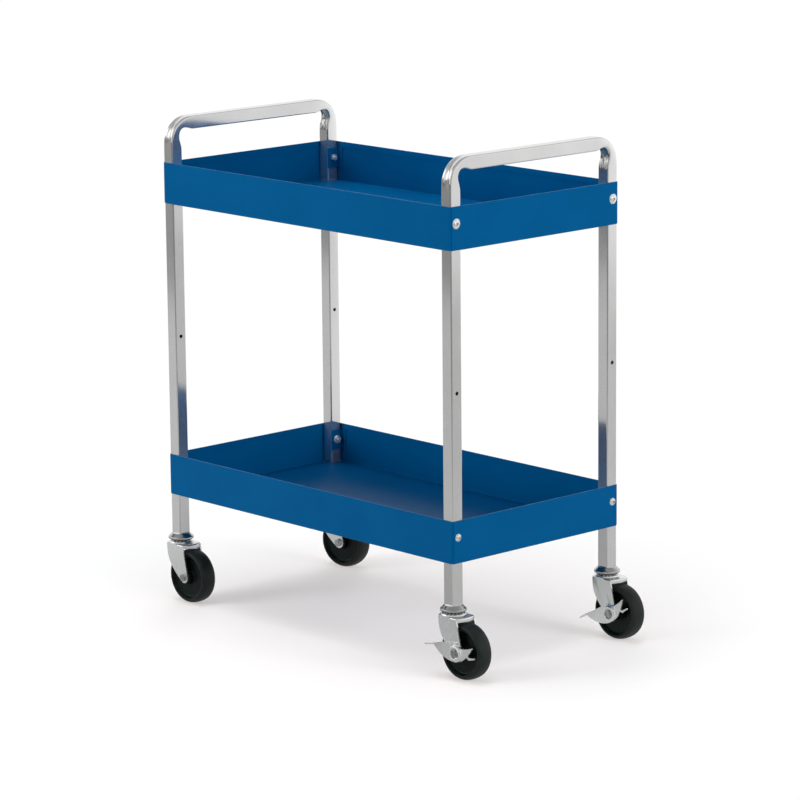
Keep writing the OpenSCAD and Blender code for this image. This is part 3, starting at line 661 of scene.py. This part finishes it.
def tube_ring(inset, press):
    half = TUBE / 2 - inset
    outer_r = CORNER + OUTER_ROUND * press - inset
    inner_r = CORNER + INNER_ROUND * press - inset
    groove_half = GROOVE_SHARE * half
    eo, ei = half - outer_r, half - inner_r
    plain = quarter(eo, eo, outer_r, 0) + quarter(-ei, ei, inner_r, 90)
    plain += [(-half, ei * (1 - 2 * k / (INNER_POINTS + 1))) for k in range(1, INNER_POINTS + 1)]
    plain += quarter(-ei, -ei, inner_r, 180) + quarter(eo, -eo, outer_r, 270)
    plain += [(half, eo * (2 * k / (OUTER_POINTS + 1) - 1)) for k in range(1, OUTER_POINTS + 1)]
    ring = []
    for a, b in plain:
        groove = GROOVE * max(0.0, 1 - (b / groove_half) ** 2)
        ripple = RIPPLE * math.cos(math.pi * b / RIPPLE_STEP + 3 * press)
        push = PUSH + groove + ripple
        sink = FLAT + DISH * (1 + math.cos(math.pi * min(abs(b) / eo, 1.0))) / 2
        inner_share, outer_share = eased((half - a) / (2 * half)), eased((half + a) / (2 * half))
        ring.append((a + press * (inner_share * push - outer_share * sink), b))
    return ring


def press_at(s):
    # s is measured along the tube from the start of the bend, and the press is full at its middle
    middle = BEND * math.pi / 4 + 0.001
    if s < middle:
        return eased((s + LEAD_LEG) / (middle + LEAD_LEG))
    return 1 - eased((s - middle) / (BEND * math.pi / 2 + LEAD_BAR - middle))


# %% [markdown]
# ### Stations
# The rings stand close together where the shape changes, in the bend and just before and after
# it. A plain run needs one at each end. Half a frame is enough, because the other half is its
# mirror image.

# %% stations along half a frame
def half_frame_stations(foot, leg_y):
    # each station: its stretch of the tube, and its height, angle or length on that stretch
    stations = [("leg", foot), ("leg", LEG_TOP - LEAD_LEG - PLAIN_LEAD)]
    stations += [("leg", LEG_TOP - LEAD_LEG * (1 - i / LEG_STEPS)) for i in range(LEG_STEPS)]
    stations += [("arc", 90.0 * i / ARC_STEPS) for i in range(ARC_STEPS + 1)]
    stations += [("bar", LEAD_BAR * i / BAR_STEPS) for i in range(1, BAR_STEPS + 1)]
    return stations + [("bar", leg_y - BEND)]


def place_point(kind, value, a, b, leg_y):
    if kind == "leg":
        return (b, -leg_y - a, value)
    if kind == "arc":
        turn = math.radians(value)
        reach = BEND + a
        return (b, -leg_y + BEND - reach * math.cos(turn), LEG_TOP + reach * math.sin(turn))
    return (b, -leg_y + BEND + value, LEG_TOP + BEND + a)


def how_pressed(kind, value):
    if kind == "leg":
        return press_at(value - LEG_TOP)
    if kind == "arc":
        return press_at(BEND * math.radians(value))
    return press_at(BEND * math.pi / 2 + value)


# %% [markdown]
# ### Loft
# Every ring has the same number of points in the same order, so point can be joined to point,
# which is surer here than bridging the rings one by one. The outer and the inner skin are made
# alike, and a strip closes the wall at each end.

# %% loft the tube
def loft_frame(name, node):
    low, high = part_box(node)
    middle_x, middle_y = (low[0] + high[0]) / 2, (low[1] + high[1]) / 2
    leg_y = (high[1] - low[1]) / 2 - TUBE / 2
    mesh = bmesh.new()
    skins = []
    for inset in (0.0, WALL):
        rings = []
        for side in (1, -1):
            half = []
            for kind, value in half_frame_stations(low[2], leg_y):
                section = tube_ring(inset, how_pressed(kind, value))
                half.append([place_point(kind, value, a, b, leg_y) for a, b in section])
            if side == -1:
                half = [[(x, -y, z) for x, y, z in ring] for ring in half[:-1]]
                half.reverse()
            rings += half
        skins.append([[mesh.verts.new((x + middle_x, y + middle_y, z)) for x, y, z in ring]
                      for ring in rings])
    count = len(skins[0][0])
    for rings in skins:
        for near, far in zip(rings, rings[1:]):
            for i in range(count):
                k = (i + 1) % count
                mesh.faces.new((near[i], near[k], far[k], far[i]))
    for end in (0, -1):
        outer, inner = skins[0][end], skins[1][end]
        for i in range(count):
            k = (i + 1) % count
            mesh.faces.new((outer[i], inner[i], inner[k], outer[k]))
    bmesh.ops.recalc_face_normals(mesh, faces=mesh.faces)
    data = bpy.data.meshes.new(name)
    mesh.to_mesh(data)
    mesh.free()
    piece = bpy.data.objects.new(name, data)
    scene.collection.objects.link(piece)
    return piece, middle_x, middle_y, leg_y


# %% [markdown]
# ### Holes, and both frames
# The screw holes and the spare holes for a middle shelf go right through a leg, so each is cut by
# one thin cylinder. Then the faces of the pressed walls are found by their place and by the way
# they look, and get the creased chrome with its darker grey of painted shade.

# %% bore the holes and finish both frames
SCREW_HOLE, SHELF_HOLE = 0.00335, 0.0035
# screws sit this far under the rim, and the spare shelf holes at this height
SCREW_DROP, SHELF_HEIGHT = 0.0295, 0.5


def bore(piece, spots, radius):
    drills = []
    for x, y, z in spots:
        bpy.ops.object.select_all(action="DESELECT")
        bpy.ops.mesh.primitive_cylinder_add(vertices=32, radius=radius, depth=0.06,
                                            location=(x, y, z), rotation=(0.0, math.pi / 2, 0.0))
        drills.append(start_piece("drill"))
    cut(piece, join_all(drills, "drills"))


upper_rim, lower_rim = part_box("tray_upper")[1][2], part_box("tray_lower")[1][2]
screw_heights = (upper_rim - SCREW_DROP, lower_rim - SCREW_DROP)
for name, node in (("chrome_frame_rear", "frame_rear"), ("chrome_frame_front", "frame_front")):
    piece, mx, my, ly = loft_frame(name, node)
    bore(piece, [(mx, my + side * ly, z) for side in (-1, 1) for z in screw_heights], SCREW_HOLE)
    bore(piece, [(mx, my + side * ly, SHELF_HEIGHT) for side in (-1, 1)], SHELF_HOLE)
    piece.data.materials.clear()
    piece.data.materials.append(tube_chrome)
    piece.data.materials.append(bend_chrome_painted_shade)
    for face in piece.data.polygons:
        # the pressed walls look towards the middle of the handle
        inward = face.normal.y * (face.center.y - my) < -0.02 and abs(face.normal.x) < 0.5
        in_bend = face.center.z > LEG_TOP - LEAD_LEG and abs(face.center.y - my) > ly - BEND
        # painted shade: the pressed walls in the bends get the darker chrome
        face.material_index = 1 if inward and in_bend else 0
    finish_piece(piece, [node], angle=38.0)

# %% [markdown]
# ## The trays
# A tray is one sheet, folded up on four sides. It is made as a bender would see it: a block of
# the outside size, its upright corners and floor folds rounded by a bevel, the lid taken off and
# the skin given the sheet's thickness inwards. The hems, the square leg cut-outs, the corner
# seams and the screw holes follow, and a fine bevel on the sharp edges catches the light, as
# paint does on a real edge.


# %% fold a tray
SHEET = 0.0012
# outer rounds of the upright corners and of the floor's folds
CORNER_FOLD, FLOOR_FOLD = 0.004, 0.0032


def fold_tray(name, node):
    low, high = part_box(node)
    piece = block(name, low, high)
    only(piece)
    bpy.ops.object.mode_set(mode="EDIT")
    pick_edges(piece, lambda a, b: abs(a.z - b.z) > 0.01)
    bpy.ops.mesh.bevel(offset=CORNER_FOLD, segments=6, affect="EDGES")
    pick_edges(piece, lambda a, b: max(a.z, b.z) < low[2] + 1e-5)
    bpy.ops.mesh.bevel(offset=FLOOR_FOLD, segments=6, affect="EDGES")
    pick_faces(piece, lambda centre, normal: normal.z > 0.99 and centre.z > high[2] - 1e-5)
    bpy.ops.mesh.delete(type="FACE")
    bpy.ops.object.mode_set(mode="OBJECT")
    apply_modifier(piece, "SOLIDIFY", thickness=SHEET, offset=-1.0, use_even_offset=True)
    return piece


# %% [markdown]
# ### Hems, cut-outs, seams and holes
# A strip along the top of each wall stands for the hem, where the sheet is folded over. Each leg
# goes through a square cut-out in the floor, and the walls meet in a fine seam near the corners.
# All of these are plain blocks and cylinders, so they are added and cut away as such.

# %% hems, cut-outs, seams and holes
LEG_GAP = 0.0003
# the seam's distance from the corner, half its width, and its depth
SEAM, SEAM_HALF, SEAM_DEPTH = 0.0026, 0.00025, 0.0008
# the hem's height, how far it reaches into the wall, and how far it stops from the leg
HEM_DEPTH, HEM_OVERLAP, HEM_STOP = 0.0095, 0.0003, 0.004
# how much wider than the tube the leg's cut-out is, and how high it reaches
LEG_CUT_SPARE, LEG_CUT_RISE = 0.0008, 0.0048


def hem_and_cut(piece, node):
    low, high = Vector(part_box(node)[0]), Vector(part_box(node)[1])
    stop = SHEET + TUBE + HEM_STOP
    top, down = high.z, high.z - HEM_DEPTH
    # the hems begin just inside the wall, so that they fuse with it
    outside, inside = SHEET - HEM_OVERLAP, 2 * SHEET
    x_from, x_to = low.x + stop, high.x - stop
    y_from, y_to = low.y + stop + LEG_GAP, high.y - stop - LEG_GAP
    strips = [((x_from, low.y + outside, down), (x_to, low.y + inside, top)),
              ((x_from, high.y - inside, down), (x_to, high.y - outside, top)),
              ((low.x + outside, y_from, down), (low.x + inside, y_to, top)),
              ((high.x - inside, y_from, down), (high.x - outside, y_to, top))]
    cut(piece, join_all([block("hem", a, b) for a, b in strips], "hems"), "UNION")
    size, cutters, drills = TUBE + LEG_CUT_SPARE, [], []
    for sx in (-1, 1):
        for sy in (-1, 1):
            wall = Vector((high.x if sx > 0 else low.x, high.y if sy > 0 else low.y, 0.0))
            inner = wall - Vector((sx * SHEET, sy * SHEET, 0.0))
            far = inner - Vector((sx * size, sy * size, 0.0))
            cut_low = (min(inner.x, far.x), min(inner.y, far.y), low.z - 0.005)
            cut_high = (max(inner.x, far.x), max(inner.y, far.y), low.z + LEG_CUT_RISE)
            cutters.append(block("leg_cut", cut_low, cut_high))
            seam = wall.y - sy * SEAM
            seam_low = (wall.x - SEAM_DEPTH, seam - SEAM_HALF, low.z - 0.001)
            seam_high = (wall.x + SEAM_DEPTH, seam + SEAM_HALF, high.z + 0.001)
            cutters.append(block("seam", seam_low, seam_high))
            screw_y = wall.y - sy * (SHEET + LEG_GAP + TUBE / 2)
            drills.append((wall.x, screw_y, high.z - SCREW_DROP))
    cut(piece, join_all(cutters, "cutters"))
    bore(piece, drills, SCREW_HOLE)


PAINTED_EDGE = 0.0004
for name, node in (("blue_tray_upper", "tray_upper"), ("blue_tray_lower", "tray_lower")):
    piece = fold_tray(name, node)
    hem_and_cut(piece, node)
    apply_modifier(piece, "BEVEL", width=PAINTED_EDGE, segments=2, limit_method="ANGLE",
                   angle_limit=math.radians(50.0))
    finish_piece(piece, [node], angle=35.0)

# %% [markdown]
# ## Turned pieces
# Wheels, race covers and screws are round, so each is spun from the outline of its half section.
# A circle is added with as many points as the outline has, its points are put on the outline, and
# spin turns it right round the axis. Doubles at the seam and on the axis are merged, and the
# faces turned out.


# %% spin an outline
def turned(name, outline, spot, axis, steps=96):
    bpy.ops.object.select_all(action="DESELECT")
    bpy.ops.mesh.primitive_circle_add(vertices=len(outline), radius=0.01, fill_type="NOTHING")
    piece = start_piece(name)
    for vertex, (radius, height) in zip(piece.data.vertices, outline):
        vertex.co = (radius, 0.0, height)
    only(piece)
    bpy.ops.object.mode_set(mode="EDIT")
    bpy.ops.mesh.select_all(action="SELECT")
    bpy.ops.mesh.spin(steps=steps, angle=2 * math.pi, center=(0.0, 0.0, 0.0),
                      axis=(0.0, 0.0, 1.0))
    bpy.ops.mesh.select_all(action="SELECT")
    bpy.ops.mesh.remove_doubles(threshold=1e-6)
    bpy.ops.mesh.dissolve_degenerate(threshold=1e-7)
    bpy.ops.mesh.delete_loose()
    bpy.ops.mesh.select_all(action="SELECT")
    bpy.ops.mesh.normals_make_consistent(inside=False)
    bpy.ops.object.mode_set(mode="OBJECT")
    turn = Vector(axis).to_track_quat("Z", "Y").to_matrix().to_4x4()
    piece.matrix_world = Matrix.Translation(spot) @ turn
    only(piece)
    bpy.ops.object.transform_apply(location=True, rotation=True, scale=True)
    return piece


def rounded(cx, cy, radius, first, last, count):
    angles = [math.radians(first + (last - first) * i / count) for i in range(count + 1)]
    return [(cx + radius * math.cos(a), cy + radius * math.sin(a)) for a in angles]


# %% [markdown]
# ### Wheels
# A hard rubber wheel of 100 mm: a crowned tread, a thin rim, a dished web and a hub that reaches
# the fork's side plates. Both sides are the same, so the outline is written for one side, as
# radius and half width in millimetres, and mirrored. The tread gets a duller finish than the
# sides.


# %% wheels
def curve_points(start, lean_out, lean_in, end, count):
    points = []
    for i in range(count + 1):
        t = i / count
        k = ((1 - t) ** 3, 3 * t * (1 - t) ** 2, 3 * t * t * (1 - t), t ** 3)
        corners = (start, lean_out, lean_in, end)
        points.append(tuple(sum(k[n] * p[axis] for n, p in enumerate(corners)) for axis in (0, 1)))
    return points


half_wheel = [(6.06, 18.5), (6.86, 19.3)] + rounded(11.8, 18.1, 1.2, 90, 0, 3)
half_wheel += [(13.4, 13.0), (14.0, 10.9)] + rounded(16.2, 11.0, 2.0, 190, 270, 4)
half_wheel += [(25.0, 9.0)]
half_wheel += curve_points((35.5, 9.0), (39.0, 9.0), (40.5, 15.4), (42.5, 15.8), 10)
half_wheel += [(43.0, 15.95)]
half_wheel += curve_points((43.5, 16.0), (48.05, 16.0), (50.0, 8.8), (50.0, 0.0), 18)[:-1]
wheel_outline = [(r / 1000, w / 1000) for r, w in half_wheel]
wheel_outline += [(0.05, 0.0)] + [(r, -w) for r, w in reversed(wheel_outline)]
# rear and front, left and right
CORNERS = ("rl", "rr", "fl", "fr")
TREAD_FROM = 0.0434
for corner in CORNERS:
    hub, axle = joint_place["spin_" + corner], joint_axis["spin_" + corner]
    piece = turned("rubber_wheel_" + corner, wheel_outline, hub, axle, steps=128)
    finish_piece(piece, ["wheel_" + corner], angle=40.0)
    piece.data.materials.append(tread_rubber)
    for face in piece.data.polygons:
        arm = face.center - hub
        if (arm - axle * arm.dot(axle)).length > TREAD_FROM:
            face.material_index = 1

# %% [markdown]
# ### Race covers
# Under each leg sits a bright stepped cup: a flared upper ring, a step, and a straight lower ring
# that hides the balls. Its foot is undercut, and the faces inside the undercut are painted nearly
# black as painted shade in the gap.

# %% race covers
UNDERCUT_HEIGHT = 0.0024
# radius of the upper rim over half the tube, and height of the step over the whole height
RIM_SHARE, STEP_SHARE = 1.41, 0.53
for corner in CORNERS:
    low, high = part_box("cover_" + corner)
    axis_x, axis_y = (low[0] + high[0]) / 2, (low[1] + high[1]) / 2
    reach, height = (high[0] - low[0]) / 2, high[2] - low[2]
    rim = TUBE / 2 * RIM_SHARE
    step = height * STEP_SHARE
    outline = [(0.005, height), (rim - 0.0006, height), (rim, height - 0.0003),
               (rim + 0.0006, height - 0.0010), (rim + 0.0046, step + 0.0006),
               (rim + 0.0052, step + 0.0003), (reach - 0.0010, step - 0.0001),
               (reach - 0.0004, step - 0.0006), (reach, step - 0.0014), (reach, 0.0026),
               (reach - 0.0003, 0.0021), (reach - 0.0026, 0.0004), (reach - 0.0030, 0.0),
               (reach - 0.0040, 0.0), (reach - 0.0046, UNDERCUT_HEIGHT), (0.005, UNDERCUT_HEIGHT)]
    piece = turned("race_cover_" + corner, outline, (axis_x, axis_y, low[2]), (0.0, 0.0, 1.0))
    finish_piece(piece, ["cover_" + corner], angle=40.0, finish=cover_plate)
    piece.data.materials.append(race_gap_painted_shade)
    for face in piece.data.polygons:
        # painted shade: the faces inside the undercut get the nearly black finish
        if face.center.z < low[2] + UNDERCUT_HEIGHT:
            face.material_index = 1

# %% [markdown]
# ### Tray screws
# Round-headed screws with a cross recess: large heads on the upper tray, smaller on the lower.
# One screw is turned and its cross cut with two thin blocks, and the cross is darkened with the
# darker steel as painted shade. Then it is copied to the four corners, each copy with its own
# mesh.


# %% tray screws
SHANK_RADIUS, SHANK_LENGTH, HEAD_EDGE = 0.00315, 0.0344, 0.0003
CROSS_LENGTH, CROSS_WIDTH = 0.0072, 0.0015
# the faces of the cross that get painted shade: within this radius, and lower than this share of
# the head
CROSS_SHADE_REACH, CROSS_SHADE_FLOOR = 0.0038, 0.55


def tray_screw(head_r, head_h):
    dome = (head_r ** 2 + head_h ** 2) / (2 * head_h)
    low = math.degrees(math.asin((dome - head_h) / dome))
    outline = [(0.0, -SHANK_LENGTH), (SHANK_RADIUS, -SHANK_LENGTH), (SHANK_RADIUS, 0.0),
               (head_r - HEAD_EDGE, 0.0), (head_r, HEAD_EDGE)]
    outline += [(r, z + head_h - dome) for r, z in rounded(0.0, 0.0, dome, low + 3, 90, 12)]
    outline[-1] = (0.0, head_h)
    screw = turned("screw", outline, (0.0, 0.0, 0.0), (1.0, 0.0, 0.0), steps=64)
    for tilt in (45.0, 135.0):
        bpy.ops.object.select_all(action="DESELECT")
        bpy.ops.mesh.primitive_cube_add(size=1.0, location=(head_h, 0.0, 0.0),
                                        scale=(head_h, CROSS_LENGTH, CROSS_WIDTH),
                                        rotation=(math.radians(tilt), 0.0, 0.0))
        cut(screw, start_piece("arm"))
    screw.data.materials.append(fastener_steel)
    screw.data.materials.append(axle_steel_and_recess_shade)
    for face in screw.data.polygons:
        # painted shade: the walls and the floor of the cross get the darker steel, for the shade
        # in the recess
        inside = math.hypot(face.center.y, face.center.z) < CROSS_SHADE_REACH and face.center.x > 0.0
        if inside and (abs(face.normal.x) < 0.2 or face.center.x < head_h * CROSS_SHADE_FLOOR):
            face.material_index = 1
    return screw


for name, node, head_r, head_h in (("round_screws_upper", "screws_upper", 0.0089, 0.0037),
                                   ("round_screws_lower", "screws_lower", 0.0069, 0.0041)):
    low, high = Vector(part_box(node)[0]), Vector(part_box(node)[1])
    first = tray_screw(head_r, head_h)
    copies = []
    for sx in (-1, 1):
        for y in (low.y + head_r, high.y - head_r):
            one = bpy.data.objects.new("screw_copy", first.data.copy())
            scene.collection.objects.link(one)
            x = high.x - head_h if sx > 0 else low.x + head_h
            turn = Matrix.Identity(4) if sx > 0 else Matrix.Rotation(math.pi, 4, "Z")
            one.matrix_world = Matrix.Translation((x, y, (low.z + high.z) / 2)) @ turn
            only(one)
            bpy.ops.object.transform_apply(location=True, rotation=True, scale=True)
            copies.append(one)
    bpy.data.objects.remove(first, do_unlink=True)
    finish_piece(join_all(copies, name), [node], angle=40.0)

# %% [markdown]
# ## Pressed and forged small pieces
# Forks, levers, brackets, nuts and bolts have the right shape as solids, but a solid's mesh is
# made of loose triangles with razor edges. Each is copied, its points merged and flat areas
# joined, and its edges are given the small round that a stamped or plated edge has.


# %% soften a copy of a solid
PRESSED_EDGE, FINE_EDGE = 0.0005, 0.0003


def softened(node, name, edge, finish=None):
    data = nodes[node].data.copy()
    piece = bpy.data.objects.new(name, data)
    scene.collection.objects.link(piece)
    only(piece)
    bpy.ops.object.mode_set(mode="EDIT")
    bpy.ops.mesh.select_all(action="SELECT")
    bpy.ops.mesh.remove_doubles(threshold=2e-6)
    bpy.ops.mesh.dissolve_limited(angle_limit=math.radians(0.6))
    bpy.ops.object.mode_set(mode="OBJECT")
    apply_modifier(piece, "BEVEL", width=edge, segments=3, limit_method="ANGLE",
                   angle_limit=math.radians(40.0))
    finish_piece(piece, [node], finish=finish)


for corner in CORNERS:
    softened("yoke_" + corner, "zinc_fork_" + corner, PRESSED_EDGE)
    softened("bolt_" + corner, "axle_bolt_" + corner, FINE_EDGE, finish=axle_steel_and_recess_shade)
    softened("nut_" + corner, "axle_nut_" + corner, FINE_EDGE, finish=axle_steel_and_recess_shade)
for corner in ("rl", "rr"):
    softened("lever_" + corner, "brake_lever_" + corner, PRESSED_EDGE)
for level_name in ("upper", "lower"):
    softened("brackets_" + level_name, "corner_brackets_" + level_name, FINE_EDGE)
    softened("nuts_" + level_name, "tray_nuts_" + level_name, FINE_EDGE)
